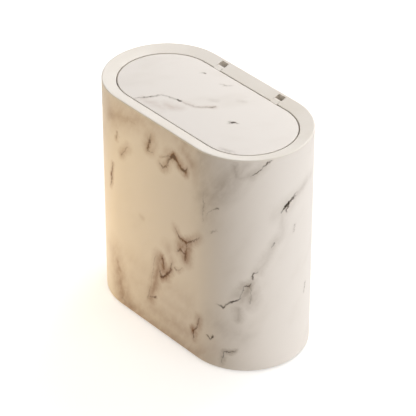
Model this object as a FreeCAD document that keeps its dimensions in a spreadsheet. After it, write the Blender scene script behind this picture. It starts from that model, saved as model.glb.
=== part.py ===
import FreeCAD, Part
import math
import os
import re
import Sketcher

# Slim press-to-open kitchen trash can. Its plan is an obround: two straight long sides and two
# half-round ends. The origin is the middle of the base on the floor, +X runs along the long side,
# +Y points to the hinge side and +Z is up. Sizes are millimetres.

SIZES = [
    # the whole bin
    ("overall_length", 290),
    ("overall_width", 150),
    ("overall_height", 290),
    # body shell
    ("body_wall", 2.2),
    ("body_floor", 2.6),
    ("base_rounding", 4),
    ("floor_rounding", 3),
    # rubber feet in recesses under the floor
    ("foot_radius", 8),
    ("foot_thickness", 2.4),
    ("foot_recess", 1),
    ("foot_fit", 0.1),
    ("foot_end_inset", 55),
    ("foot_side_inset", 33),
    # rim collar
    ("rim_lip", 1.8),
    ("rim_crest", 1.8),
    ("rim_edge_rounding", 1.2),
    ("rim_band", 16.7),
    ("rim_drop", 4.3),
    ("rim_inner_rounding", 0.6),
    ("deck_wall", 2),
    ("rim_wall", 2),
    ("rim_depth", 22),
    ("skirt_clearance", 0.4),
    ("skirt_wall", 1.8),
    ("skirt_depth", 14),
    # lid
    ("lid_gap", 1.4),
    ("panel_thickness", 2.5),
    ("panel_rounding", 0.8),
    ("frame_depth", 9.2),
    ("frame_wall", 2),
    ("frame_top", 2),
    ("rib_width", 1.6),
    ("rib_depth", 5),
    ("rib_end_inset", 1),
    ("rib_count", 4),
    # hinges
    ("hinge_end_inset", 21),
    ("hinge_setback", 4.9),
    ("hinge_drop", 2.6),
    ("arm_width", 10.4),
    ("arm_clearance", 0.35),
    ("arm_under", 1.6),
    ("arm_panel_gap", 0.15),
    ("knuckle_radius", 4),
    ("tail_reach", 5.6),
    ("tail_under", 2.2),
    ("tail_over", 0.6),
    ("pocket_reach", 8.1),
    ("cut_margin", 0.6),
    ("stop_edge_drop", 4.35),
    ("ear_width", 5),
    ("ear_depth", 6.8),
    ("pin_radius", 1.5),
    ("pin_fit", 0.02),
    ("pin_running", 0.06),
    ("pin_end_gap", 0.2),
    # hinge springs
    ("torsion_wire", 0.8),
    ("torsion_bore_clearance", 0.3),
    ("torsion_pitch", 1.25),
    ("torsion_room", 5.2),
    ("torsion_room_clearance", 0.6),
    ("torsion_leg_gap", 0.1),
    ("torsion_leg_end_gap", 0.3),
    # hinge covers
    ("cover_thickness", 2),
    ("cover_clearance", 0.3),
    ("cover_rib_depth", 2),
    ("cover_rib_rise", 2.3),
    ("cover_rib_width", 4.6),
    ("cover_screw_setback", 4.6),
    # screws
    ("screw_radius", 1.1),
    ("screw_fit", 0.02),
    ("screw_passage", 0.2),
    ("screw_head_radius", 2.1),
    ("screw_head_height", 1.5),
    ("screw_grip", 4),
    ("screw_point_gap", 0.4),
    ("recess_width", 0.6),
    ("recess_depth", 0.8),
    # latch under the front edge of the lid
    ("tongue_side", 0.35),
    ("tongue_under", 3),
    ("latch_drop", 24),
    ("latch_height", 22),
    ("latch_width", 17),
    ("latch_depth", 14),
    ("latch_floor", 3),
    ("flange_thickness", 5),
    ("flange_height", 10),
    ("flange_rise", 6),
    ("flange_end", 3.15),
    ("latch_screw_spacing", 23),
    ("plunger_width", 11.4),
    ("plunger_depth", 7.4),
    ("plunger_clearance", 0.3),
    ("plunger_sink", 2),
    ("plunger_press", 3),
    ("jaw_height", 9.5),
    ("jaw_thickness", 2.2),
    ("jaw_nose", 0.6),
    ("jaw_nose_height", 2.5),
    ("coil_wire", 0.6),
    ("coil_radius", 2),
    ("coil_turns", 6),
    ("coil_bore_clearance", 0.5),
    ("coil_bore_depth", 10),
    ("coil_end_gap", 0.3),
    ("cam_wire_diameter", 1),
    ("cam_hole_fit", 0.02),
    ("cam_room", 5),
    ("cam_groove_width", 4.4),
    ("cam_groove_height", 9),
    ("cam_groove_depth", 1),
    ("cam_groove_rise", 1.5),
    ("cam_gap", 0.2),
    ("heart_size", 2.2),
    ("heart_notch", 0.9),
    # striker under the lid
    ("striker_length", 26),
    ("striker_width", 6.6),
    ("striker_thickness", 2.5),
    ("striker_screw_spacing", 18),
    ("striker_shank", 2.4),
    ("striker_head_radius", 2.2),
    ("striker_head_length", 6),
    ("striker_seat_gap", 0.3),
    ("striker_boss_radius", 3),
    ("striker_boss_height", 5),
]

doc = FreeCAD.newDocument("kitchen_trash_can")
sheet = doc.addObject("Spreadsheet::Sheet", "Sizes")
for row, (alias, number) in enumerate(SIZES, start=1):
    sheet.set(f"A{row}", alias)
    sheet.set(f"B{row}", str(number))
    sheet.setAlias(f"B{row}", alias)
doc.recompute()

ALIAS = re.compile(r"\b(" + "|".join(alias for alias, number in SIZES) + r")\b")


def cells(formula):
    """The formula with each size's name turned into its cell of the sheet."""
    return ALIAS.sub(r"Sizes.\1", formula)


def measure(formula):
    """The formula's value for the sizes as they stand."""
    return float(sheet.evalExpression(cells(formula)))


def bind(thing, prop, formula):
    thing.setExpression(prop, cells(formula))


# Levels and radii that several pieces share
END_RADIUS = "(overall_width / 2)"
HALF_STRAIGHT = "((overall_length - overall_width) / 2)"
FOOT_STAND = "(foot_thickness - foot_recess)"
FLOOR_LEVEL = f"({FOOT_STAND} + body_floor)"
BODY_TOP = "(overall_height - rim_lip)"
LID_LEVEL = "(overall_height - rim_drop)"
OPENING_RADIUS = f"({END_RADIUS} - rim_band)"
RIM_SLOPE = "(rim_drop / (rim_band - rim_crest))"
RIM_BOTTOM = "(overall_height - rim_depth)"
SKIRT_OUTER = f"({END_RADIUS} - body_wall - skirt_clearance)"
SKIRT_INNER = f"({SKIRT_OUTER} - skirt_wall)"
LID_RADIUS = f"({OPENING_RADIUS} - lid_gap)"
PANEL_BOTTOM = f"({LID_LEVEL} - panel_thickness)"
FRAME_BOTTOM = f"({PANEL_BOTTOM} - frame_depth)"
PLATE_BOTTOM = f"({PANEL_BOTTOM} - frame_top)"
HINGE_X = f"({HALF_STRAIGHT} - hinge_end_inset)"
HINGE_Y = f"({OPENING_RADIUS} + hinge_setback)"
HINGE_Z = f"({LID_LEVEL} - hinge_drop)"
POCKET_WIDTH = "(arm_width + 2 * arm_clearance)"
EARS_WIDTH = f"({POCKET_WIDTH} + 2 * ear_width)"
EAR_BOTTOM = f"({HINGE_Z} - ear_depth)"
COVER_SCREW_Y = f"({HINGE_Y} + cover_screw_setback)"
COVER_SCREW_X = f"({POCKET_WIDTH} / 2 + ear_width / 2)"
PILOT_RADIUS = "(screw_radius + screw_fit)"
PASSAGE_RADIUS = "(screw_radius + screw_passage)"
SCREW_HOLE = "(screw_grip + screw_point_gap)"
LATCH_Y = f"(-{OPENING_RADIUS} + latch_depth / 2)"
LATCH_TOP = f"({LID_LEVEL} - latch_drop)"
LATCH_BOTTOM = f"({LATCH_TOP} - latch_height)"
LATCH_SCREW_Z = f"({LATCH_BOTTOM} + flange_rise + flange_height / 2)"
PLUNGER_SEAT = f"({LATCH_TOP} - plunger_sink)"
PLUNGER_BOTTOM = f"({LATCH_BOTTOM} + latch_floor + plunger_press)"
BOSS_BOTTOM = f"({PLATE_BOTTOM} - striker_boss_height)"


def origin_plane(body, role):
    return next(feature for feature in body.Origin.OriginFeatures if feature.Role == role)


def new_sketch(body, name, role, offset):
    """A sketch on one of the body's origin planes, moved along that plane's normal."""
    sketch = body.newObject("Sketcher::SketchObject", name)
    sketch.AttachmentSupport = [(origin_plane(body, role), "")]
    sketch.MapMode = "FlatFace"
    bind(sketch, "AttachmentOffset.Base.z", offset)
    return sketch


def hold_point(sketch, geometry, position, across, along):
    """Tie a point of the sketch to its two distances from the sketch's origin."""
    for kind, formula in (("DistanceX", across), ("DistanceY", along)):
        constraint = Sketcher.Constraint(kind, -1, 1, geometry, position, measure(formula))
        index = sketch.addConstraint(constraint)
        bind(sketch, f"Constraints[{index}]", formula)


def polygon(body, name, role, offset, corners):
    """A closed outline of straight lines through the given corners."""
    sketch = new_sketch(body, name, role, offset)
    points = [FreeCAD.Vector(measure(across), measure(along), 0) for across, along in corners]
    count = len(points)
    for index, point in enumerate(points):
        sketch.addGeometry(Part.LineSegment(point, points[(index + 1) % count]), False)
    for index, (across, along) in enumerate(corners):
        following = (index + 1) % count
        sketch.addConstraint(Sketcher.Constraint("Coincident", index, 2, following, 1))
        hold_point(sketch, index, 1, across, along)
    return sketch


def rectangle(body, name, role, offset, left, bottom, right, top):
    corners = [(left, bottom), (right, bottom), (right, top), (left, top)]
    return polygon(body, name, role, offset, corners)


def circle(body, name, role, offset, across, along, radius):
    sketch = new_sketch(body, name, role, offset)
    centre = FreeCAD.Vector(measure(across), measure(along), 0)
    sketch.addGeometry(Part.Circle(centre, FreeCAD.Vector(0, 0, 1), measure(radius)), False)
    hold_point(sketch, 0, 3, across, along)
    index = sketch.addConstraint(Sketcher.Constraint("Radius", 0, measure(radius)))
    bind(sketch, f"Constraints[{index}]", radius)
    return sketch


def obround(body, name, level, radius):
    """The bin's plan at one level: two half circles joined by the straight sides."""
    sketch = new_sketch(body, name, "XY_Plane", level)
    half = measure(HALF_STRAIGHT)
    reach = measure(radius)
    quarter = math.pi / 2
    up = FreeCAD.Vector(0, 0, 1)
    right_circle = Part.Circle(FreeCAD.Vector(half, 0, 0), up, reach)
    left_circle = Part.Circle(FreeCAD.Vector(-half, 0, 0), up, reach)
    back_right = FreeCAD.Vector(half, reach, 0)
    back_left = FreeCAD.Vector(-half, reach, 0)
    front_left = FreeCAD.Vector(-half, -reach, 0)
    front_right = FreeCAD.Vector(half, -reach, 0)
    right, back, left, front = range(4)
    sketch.addGeometry(Part.ArcOfCircle(right_circle, -quarter, quarter), False)
    sketch.addGeometry(Part.LineSegment(back_right, back_left), False)
    sketch.addGeometry(Part.ArcOfCircle(left_circle, quarter, 3 * quarter), False)
    sketch.addGeometry(Part.LineSegment(front_left, front_right), False)
    for side, following in ((right, back), (back, left), (left, front), (front, right)):
        sketch.addConstraint(Sketcher.Constraint("Coincident", side, 2, following, 1))
    hold_point(sketch, right, 3, HALF_STRAIGHT, "0")
    hold_point(sketch, left, 3, f"-{HALF_STRAIGHT}", "0")
    for end in (right, left):
        sketch.addConstraint(Sketcher.Constraint("Vertical", end, 3, end, 1))
        sketch.addConstraint(Sketcher.Constraint("Vertical", end, 3, end, 2))
    index = sketch.addConstraint(Sketcher.Constraint("Radius", right, reach))
    bind(sketch, f"Constraints[{index}]", radius)
    sketch.addConstraint(Sketcher.Constraint("Equal", right, left))
    return sketch


def pad(body, sketch, length):
    """Add material from the sketch along its plane's normal."""
    feature = body.newObject("PartDesign::Pad", f"{sketch.Name}_pad")
    feature.Profile = sketch
    bind(feature, "Length", length)
    return feature


def cut(body, sketch, length):
    """Take material away from the sketch along its plane's normal."""
    feature = body.newObject("PartDesign::Pocket", f"{sketch.Name}_cut")
    feature.Profile = sketch
    feature.Reversed = True
    bind(feature, "Length", length)
    doc.recompute()
    if feature.Shape.Volume >= feature.BaseFeature.Shape.Volume:
        raise RuntimeError(f"{feature.Name} takes nothing away")
    return feature


def mirror(body, name, role, features):
    feature = body.newObject("PartDesign::Mirrored", name)
    feature.Originals = features
    feature.MirrorPlane = (origin_plane(body, role), [""])
    body.Tip = feature
    return feature


def from_centreline(point):
    """A point's distance, in plan, from the line between the centres of the two round ends."""
    return math.hypot(max(abs(point.x) - measure(HALF_STRAIGHT), 0), point.y)


def round_edge(body, base, name, radius, level, reach):
    """Round the level edge that runs all the way round the plan at the given reach."""
    doc.recompute()
    height = measure(level)
    distance = measure(reach)
    tolerance = 0.001
    names = []
    for index, edge in enumerate(base.Shape.Edges, start=1):
        middle = edge.valueAt((edge.FirstParameter + edge.LastParameter) / 2)
        points = [middle] + [vertex.Point for vertex in edge.Vertexes]
        level_edge = all(abs(point.z - height) < tolerance for point in points)
        outline_edge = all(abs(from_centreline(point) - distance) < tolerance for point in points)
        if level_edge and outline_edge:
            names.append(f"Edge{index}")
    feature = body.newObject("PartDesign::Fillet", name)
    feature.Base = (base, names)
    bind(feature, "Radius", radius)
    return feature


def new_body(label):
    body = doc.addObject("PartDesign::Body", label)
    body.Label = label
    return body


def place(thing, x, y, z):
    for axis, formula in (("x", x), ("y", y), ("z", z)):
        bind(thing, f"Placement.Base.{axis}", formula)


def block(name, x, y, z, length, width, height):
    """A box whose lower corner is at x, y, z."""
    box = doc.addObject("Part::Box", name)
    bind(box, "Length", length)
    bind(box, "Width", width)
    bind(box, "Height", height)
    place(box, x, y, z)
    return box


def centred_block(name, x, y, z, length, width, height):
    """A box standing on z, with x and y at its middle."""
    return block(name, f"{x} - ({length}) / 2", f"{y} - ({width}) / 2", z, length, width, height)


ALONG = {
    "x": FreeCAD.Rotation(FreeCAD.Vector(0, 1, 0), 90),
    "y": FreeCAD.Rotation(FreeCAD.Vector(1, 0, 0), -90),
    "z": FreeCAD.Rotation(),
}


def rod(name, direction, x, y, z, radius, length):
    """A round bar that starts at x, y, z and runs in the given direction."""
    bar = doc.addObject("Part::Cylinder", name)
    bar.Placement = FreeCAD.Placement(FreeCAD.Vector(), ALONG[direction])
    bind(bar, "Radius", radius)
    bind(bar, "Height", length)
    place(bar, x, y, z)
    return bar


def fuse(name, things):
    joined = doc.addObject("Part::MultiFuse", name)
    joined.Shapes = things
    return joined


def take(name, base, tools):
    left_over = doc.addObject("Part::Cut", name)
    left_over.Base = base
    left_over.Tool = tools[0] if len(tools) == 1 else fuse(f"{name}_tools", tools)
    return left_over


nodes = []


def finish(label, thing):
    """Name a finished piece, which is then written to its own file."""
    thing.Label = label
    nodes.append(thing)


# Body shell: a tall thin-walled tub, rounded under its bottom edge
body = new_body("body_shell")
outside = pad(body, obround(body, "body_outside", FOOT_STAND, END_RADIUS), f"{BODY_TOP} - {FOOT_STAND}")
round_edge(body, outside, "base_edge", "base_rounding", FOOT_STAND, END_RADIUS)
BODY_INNER = f"({END_RADIUS} - body_wall)"
inside = cut(body, obround(body, "body_inside", FLOOR_LEVEL, BODY_INNER), f"{BODY_TOP} - {FLOOR_LEVEL}")
round_edge(body, inside, "floor_edge", "floor_rounding", FLOOR_LEVEL, BODY_INNER)
feet = [(side, end) for side in (-1, 1) for end in (-1, 1)]
for number, (side, end) in enumerate(feet, start=1):
    foot_x = f"({end} * (overall_length / 2 - foot_end_inset))"
    foot_y = f"({side} * (overall_width / 2 - foot_side_inset))"
    seat_radius = "foot_radius + foot_fit"
    seat = circle(body, f"foot_seat_{number}", "XY_Plane", FOOT_STAND, foot_x, foot_y, seat_radius)
    cut(body, seat, "foot_recess")
    foot = rod(f"foot_{number}", "z", foot_x, foot_y, "0", "foot_radius", "foot_thickness")
    finish(f"foot_pad_{number}", foot)
finish("body_shell", body)

# Rim collar: a ring on the body's top edge. One section is drawn at the start of the right-hand
# end, run along the straight side, turned round the end, and mirrored to close the ring.
rim = new_body("rim_collar")


def deck_under(reach):
    """Level of the deck's underside at a distance from the centre line."""
    return f"({LID_LEVEL} + ({reach} - {OPENING_RADIUS}) * {RIM_SLOPE} - deck_wall)"


WALL_BACK = f"({OPENING_RADIUS} + rim_wall)"
SKIRT_BOTTOM = f"({BODY_TOP} - skirt_depth)"
RIM_SECTION = [
    (END_RADIUS, BODY_TOP),
    (END_RADIUS, "overall_height"),
    (f"{END_RADIUS} - rim_crest", "overall_height"),
    (OPENING_RADIUS, LID_LEVEL),
    (OPENING_RADIUS, RIM_BOTTOM),
    (WALL_BACK, RIM_BOTTOM),
    (WALL_BACK, deck_under(WALL_BACK)),
    (SKIRT_INNER, deck_under(SKIRT_INNER)),
    (SKIRT_INNER, SKIRT_BOTTOM),
    (SKIRT_OUTER, SKIRT_BOTTOM),
    (SKIRT_OUTER, BODY_TOP),
]
back_side = pad(
    rim,
    polygon(rim, "rim_side", "YZ_Plane", f"-{HALF_STRAIGHT}", RIM_SECTION),
    f"2 * {HALF_STRAIGHT}",
)
end_section = polygon(rim, "rim_end", "YZ_Plane", HALF_STRAIGHT, RIM_SECTION)
right_end = rim.newObject("PartDesign::Revolution", "rim_right_end")
right_end.Profile = end_section
right_end.ReferenceAxis = (end_section, ["V_Axis"])
right_end.Angle = 180
right_end.Reversed = True
doc.recompute()
mirror(rim, "rim_left_end", "YZ_Plane", [right_end])
doc.recompute()
ring = mirror(rim, "rim_front_side", "XZ_Plane", [back_side])
outer_edge = round_edge(rim, ring, "rim_outer_edge", "rim_edge_rounding", "overall_height", END_RADIUS)
round_edge(rim, outer_edge, "rim_inner_edge", "rim_inner_rounding", LID_LEVEL, OPENING_RADIUS)

# Hinge ears under the deck, with the pocket between them for the lid's arm
EAR_FRONT = f"({OPENING_RADIUS} + rim_wall / 2)"
EAR_BACK = f"({SKIRT_INNER} + skirt_wall / 2)"
EARS_START = f"({HINGE_X} - {EARS_WIDTH} / 2)"
ears = pad(
    rim,
    polygon(rim, "hinge_ears", "YZ_Plane", EARS_START, [
        (EAR_FRONT, EAR_BOTTOM),
        (EAR_BACK, EAR_BOTTOM),
        (EAR_BACK, f"{deck_under(EAR_BACK)} + deck_wall / 2"),
        (EAR_FRONT, f"{deck_under(EAR_FRONT)} + deck_wall / 2"),
    ]),
    EARS_WIDTH,
)
POCKET_FRONT = f"({OPENING_RADIUS} - cut_margin)"
POCKET_BACK = f"({HINGE_Y} + pocket_reach)"
POCKET_TOP = "(overall_height + cut_margin)"
STOP_EDGE = f"({HINGE_Z} - stop_edge_drop)"
hinge_pocket = cut(
    rim,
    polygon(rim, "hinge_pocket", "YZ_Plane", f"{HINGE_X} - {POCKET_WIDTH} / 2", [
        (POCKET_FRONT, POCKET_TOP),
        (POCKET_FRONT, STOP_EDGE),
        (WALL_BACK, STOP_EDGE),
        (WALL_BACK, EAR_BOTTOM),
        (POCKET_BACK, EAR_BOTTOM),
        (POCKET_BACK, POCKET_TOP),
    ]),
    POCKET_WIDTH,
)
pin_hole = cut(
    rim,
    circle(rim, "pin_hole", "YZ_Plane", EARS_START, HINGE_Y, HINGE_Z, "pin_radius + pin_fit"),
    EARS_WIDTH,
)
ear_holes = []
for name, side in (("near", -1), ("far", 1)):
    hole_x = f"({HINGE_X} + {side} * {COVER_SCREW_X})"
    hole = circle(rim, f"ear_hole_{name}", "XY_Plane", EAR_BOTTOM, hole_x, COVER_SCREW_Y, PILOT_RADIUS)
    ear_holes.append(cut(rim, hole, SCREW_HOLE))
mirror(rim, "left_hinge", "YZ_Plane", [ears, hinge_pocket, pin_hole] + ear_holes)
doc.recompute()

# Tongue below the ring's inner wall at the front, which carries the latch
FLANGE_WIDTH = "(latch_screw_spacing + 2 * flange_end)"
TONGUE_REACH = f"({FLANGE_WIDTH} / 2 + tongue_side)"
TONGUE_BOTTOM = f"({LATCH_BOTTOM} - tongue_under)"
tongue_plan = rectangle(
    rim, "latch_tongue", "XY_Plane", TONGUE_BOTTOM,
    f"-{TONGUE_REACH}", f"-{WALL_BACK}", TONGUE_REACH, f"-{OPENING_RADIUS}",
)
pad(rim, tongue_plan, f"{RIM_BOTTOM} - {TONGUE_BOTTOM} + rim_wall")
for name, side in (("left", -1), ("right", 1)):
    hole_x = f"({side} * latch_screw_spacing / 2)"
    hole_name = f"tongue_hole_{name}"
    hole = circle(rim, hole_name, "XZ_Plane", OPENING_RADIUS, hole_x, LATCH_SCREW_Z, PASSAGE_RADIUS)
    cut(rim, hole, "rim_wall")
finish("rim_collar", rim)

# Lid panel: the flat plate that is seen from above
panel = new_body("lid_panel")
plate = pad(panel, obround(panel, "panel_plan", PANEL_BOTTOM, LID_RADIUS), "panel_thickness")
round_edge(panel, plate, "panel_edge", "panel_rounding", LID_LEVEL, LID_RADIUS)
finish("lid_panel", panel)

# Lid frame: a shallow tray, open below, with cross ribs, screw bosses and two hinge arms
frame = new_body("lid_frame")
pad(frame, obround(frame, "frame_plan", FRAME_BOTTOM, LID_RADIUS), "frame_depth")
FRAME_INNER = f"({LID_RADIUS} - frame_wall)"
cut(frame, obround(frame, "frame_hollow", FRAME_BOTTOM, FRAME_INNER), "frame_depth - frame_top")
RIB_END = f"({LID_RADIUS} - frame_wall / 2)"
RIB_REACH = f"({HALF_STRAIGHT} - rib_end_inset)"
for number in range(round(measure("rib_count"))):
    rib_x = f"({RIB_REACH} * (2 * {number} / (rib_count - 1) - 1))"
    rib_plan = rectangle(
        frame, f"rib_{number + 1}", "XY_Plane", f"{PLATE_BOTTOM} - rib_depth",
        f"{rib_x} - rib_width / 2", f"-{RIB_END}", f"{rib_x} + rib_width / 2", RIB_END,
    )
    pad(frame, rib_plan, "rib_depth + frame_top / 2")
for name, side in (("left", -1), ("right", 1)):
    boss_x = f"({side} * striker_screw_spacing / 2)"
    boss = circle(frame, f"boss_{name}", "XY_Plane", BOSS_BOTTOM, boss_x, LATCH_Y, "striker_boss_radius")
    pad(frame, boss, "striker_boss_height + frame_top / 2")
    hole = circle(frame, f"boss_hole_{name}", "XY_Plane", BOSS_BOTTOM, boss_x, LATCH_Y, PILOT_RADIUS)
    cut(frame, hole, SCREW_HOLE)

ARM_START = f"({HINGE_X} - arm_width / 2)"
KNUCKLE_TOP = f"({HINGE_Z} + knuckle_radius)"
ARM_UNDER = f"({HINGE_Z} - arm_under)"
TAIL_END = f"({HINGE_Y} + tail_reach)"
arm = pad(
    frame,
    polygon(frame, "arm", "YZ_Plane", ARM_START, [
        (RIB_END, ARM_UNDER),
        (HINGE_Y, ARM_UNDER),
        (HINGE_Y, KNUCKLE_TOP),
        (f"{LID_RADIUS} + arm_panel_gap", LID_LEVEL),
        (f"{LID_RADIUS} + arm_panel_gap", PANEL_BOTTOM),
        (RIB_END, PANEL_BOTTOM),
    ]),
    "arm_width",
)
knuckle = pad(
    frame,
    circle(frame, "knuckle", "YZ_Plane", ARM_START, HINGE_Y, HINGE_Z, "knuckle_radius"),
    "arm_width",
)
tail = pad(
    frame,
    rectangle(
        frame, "stop_tail", "YZ_Plane", ARM_START,
        HINGE_Y, f"{HINGE_Z} - tail_under", TAIL_END, f"{HINGE_Z} + tail_over",
    ),
    "arm_width",
)
TORSION_RADIUS = "(pin_radius + torsion_bore_clearance + torsion_wire / 2)"
ROOM_START = f"({HINGE_X} - torsion_room / 2)"
ROOM_RADIUS = f"({TORSION_RADIUS} + torsion_wire / 2 + torsion_room_clearance)"
ROOM_BOTTOM = f"({HINGE_Z} - knuckle_radius - cut_margin)"
ROOM_TOP = f"({HINGE_Z} + tail_over + cut_margin)"
spring_room = cut(
    frame,
    circle(frame, "spring_room", "YZ_Plane", ROOM_START, HINGE_Y, HINGE_Z, ROOM_RADIUS),
    "torsion_room",
)
leg_room = cut(
    frame,
    polygon(frame, "leg_room", "YZ_Plane", ROOM_START, [
        (f"{LID_RADIUS} + arm_panel_gap", ROOM_BOTTOM),
        (f"{TAIL_END} + cut_margin", ROOM_BOTTOM),
        (f"{TAIL_END} + cut_margin", ROOM_TOP),
        (HINGE_Y, ROOM_TOP),
        (HINGE_Y, ARM_UNDER),
        (f"{LID_RADIUS} + arm_panel_gap", ARM_UNDER),
    ]),
    "torsion_room",
)
pin_bore = cut(
    frame,
    circle(frame, "pin_bore", "YZ_Plane", ARM_START, HINGE_Y, HINGE_Z, "pin_radius + pin_running"),
    "arm_width",
)
mirror(frame, "left_arm", "YZ_Plane", [arm, knuckle, tail, spring_room, leg_room, pin_bore])
doc.recompute()
finish("lid_frame", frame)


def arc_between(start, bend, end):
    """The arc that leaves start and reaches end, both in line with the bend point."""
    middle = (start + end) * 0.5
    inward = middle - bend
    half_angle = math.asin(min((start - middle).Length / (start - bend).Length, 1))
    leg = (start - bend).Length
    crown = leg / math.cos(half_angle) - leg * math.tan(half_angle)
    return Part.Arc(start, bend + inward.normalize() * crown, end).toShape()


def biarc(start, start_way, end, end_way):
    """Two arcs in line with each other and with both given directions."""
    chord = end - start
    ways = start_way + end_way
    square = 2 * start_way.dot(end_way) - 2
    linear = -2 * chord.dot(ways)
    constant = chord.dot(chord)
    root = math.sqrt(linear * linear - 4 * square * constant)
    reach = (-linear - root) / (2 * square)
    first_bend = start + start_way * reach
    second_bend = end - end_way * reach
    joint = (first_bend + second_bend) * 0.5
    return [arc_between(start, first_bend, joint), arc_between(joint, second_bend, end)]


def coil(centre, across, along, axis, radius, pitch, first_turn, turns):
    """Quarter-turn biarcs of a helix, with its two ends and the directions there."""
    lead = pitch / (2 * math.pi)

    def at(angle):
        return (centre + across * (radius * math.cos(angle)) + along * (radius * math.sin(angle))
                + axis * (lead * (angle - first_turn)))

    def way(angle):
        direction = across * (-radius * math.sin(angle)) + along * (radius * math.cos(angle)) + axis * lead
        return direction.normalize()

    quarters = round(turns * 4)
    angles = [first_turn + math.pi / 2 * step for step in range(quarters + 1)]
    edges = []
    for begin, end in zip(angles, angles[1:]):
        edges += biarc(at(begin), way(begin), at(end), way(end))
    return edges, at(angles[0]), way(angles[0]), at(angles[-1]), way(angles[-1])


def wire_tube(name, edges, diameter):
    """One unbroken round wire along the edges."""
    path = Part.Wire(edges)
    first = edges[0]
    start_way = first.tangentAt(first.FirstParameter)
    start = first.valueAt(first.FirstParameter)
    ring = Part.Wire([Part.Circle(start, start_way, diameter / 2).toShape()])
    thing = doc.addObject("Part::Feature", name)
    thing.Shape = path.makePipeShell([ring], True, False)
    thing.Placement = FreeCAD.Placement()
    step = diameter / 4
    points = path.discretize(Distance=step)
    apart = round(math.pi * diameter / step)
    distances = [
        (points[index] - other).Length
        for index in range(len(points))
        for other in points[index + apart:]
    ]
    print(f"{name}: least gap of the wire to itself {min(distances) - diameter:.2f} mm")
    return thing


def straight(start, end):
    return Part.LineSegment(start, end).toShape()


# Hinges: a pin, a torsion spring and a screwed cover on each side
X_WAY = FreeCAD.Vector(1, 0, 0)
Y_WAY = FreeCAD.Vector(0, 1, 0)
Z_WAY = FreeCAD.Vector(0, 0, 1)
cover_screws = []
CROSS_RECESS = (("screw_head_radius", "recess_width"), ("recess_width", "screw_head_radius"))


def screw(name, direction, x, y, z, length):
    """A pan-head screw with a cross recess. Its shank starts under the head, at x, y, z."""
    tops = {"y": (x, f"({y} - screw_head_height)", z), "z": (x, y, f"({z} - screw_head_height)")}
    top = tops[direction]
    shank = rod(f"{name}_shank", direction, x, y, z, "screw_radius", length)
    head = rod(f"{name}_head", direction, *top, "screw_head_radius", "screw_head_height")
    slots = []
    for number, (across, along) in enumerate(CROSS_RECESS, start=1):
        slot_name = f"{name}_slot_{number}"
        left = f"{x} - {across} / 2"
        if direction == "z":
            slot = block(slot_name, left, f"{y} - {along} / 2", top[2], across, along, "recess_depth")
        else:
            slot = block(slot_name, left, top[1], f"{z} - {along} / 2", across, "recess_depth", along)
        slots.append(slot)
    return take(name, fuse(f"{name}_whole", [shank, head]), slots)


# Two turns and three quarters leave one leg pointing down and the other forward, under the lid
TORSION_TURNS = 2.75
for name, side in (("left", -1), ("right", 1)):
    hinge_x = f"({side} * {HINGE_X})"
    pin_length = f"({EARS_WIDTH} - 2 * pin_end_gap)"
    pin_start = f"{hinge_x} - {pin_length} / 2"
    pin = rod(f"pin_{name}", "x", pin_start, HINGE_Y, HINGE_Z, "pin_radius", pin_length)
    finish(f"hinge_pin_{name}", pin)

    first_x = measure(f"{hinge_x} - {TORSION_TURNS} * torsion_pitch / 2")
    first_centre = FreeCAD.Vector(first_x, measure(HINGE_Y), measure(HINGE_Z))
    edges, start, start_way, end, end_way = coil(
        first_centre, Y_WAY * -1, Z_WAY, X_WAY,
        measure(TORSION_RADIUS), measure("torsion_pitch"), 0, TORSION_TURNS)
    fixed_leg = start - start_way * measure("ear_depth - torsion_leg_end_gap")
    leg_reach = measure(f"{HINGE_Y} - {LID_RADIUS} - arm_panel_gap - torsion_leg_end_gap")
    moving_leg = end + end_way * leg_reach
    edges = [straight(fixed_leg, start)] + edges + [straight(end, moving_leg)]
    finish(f"hinge_spring_{name}", wire_tube(f"torsion_{name}", edges, measure("torsion_wire")))

    cover_back = f"({SKIRT_INNER} - cover_clearance)"
    cover_front = f"({WALL_BACK} + cover_clearance)"
    cover_level = f"({EAR_BOTTOM} - cover_thickness)"
    plate = block(f"cover_plate_{name}", f"{hinge_x} - {EARS_WIDTH} / 2", cover_front, cover_level,
                  EARS_WIDTH, f"{cover_back} - {cover_front}", "cover_thickness")
    rib_front = f"({HINGE_Y} - {TORSION_RADIUS} + torsion_wire / 2 + torsion_leg_gap)"
    rib = block(f"cover_rib_{name}", f"{hinge_x} - cover_rib_width / 2", rib_front, cover_level,
                "cover_rib_width", "cover_rib_depth", "cover_thickness + cover_rib_rise")
    passages = []
    for place_name, place_side in (("near", -1), ("far", 1)):
        screw_x = f"({hinge_x} + {place_side} * {COVER_SCREW_X})"
        screw_place = (screw_x, COVER_SCREW_Y, cover_level)
        passages.append(
            rod(f"cover_hole_{name}_{place_name}", "z", *screw_place, PASSAGE_RADIUS, "cover_thickness"))
        cover_screws.append(
            screw(f"cover_screw_{name}_{place_name}", "z", *screw_place, "cover_thickness + screw_grip"))
    cover = take(f"cover_{name}", fuse(f"cover_whole_{name}", [plate, rib]), passages)
    finish(f"hinge_cover_{name}", cover)


def group(label, things):
    """Like fasteners as separate solids of one node."""
    gathered = doc.addObject("Part::Compound", f"{label}_group")
    gathered.Links = things
    finish(label, gathered)


group("hinge_cover_screws", cover_screws)

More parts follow.
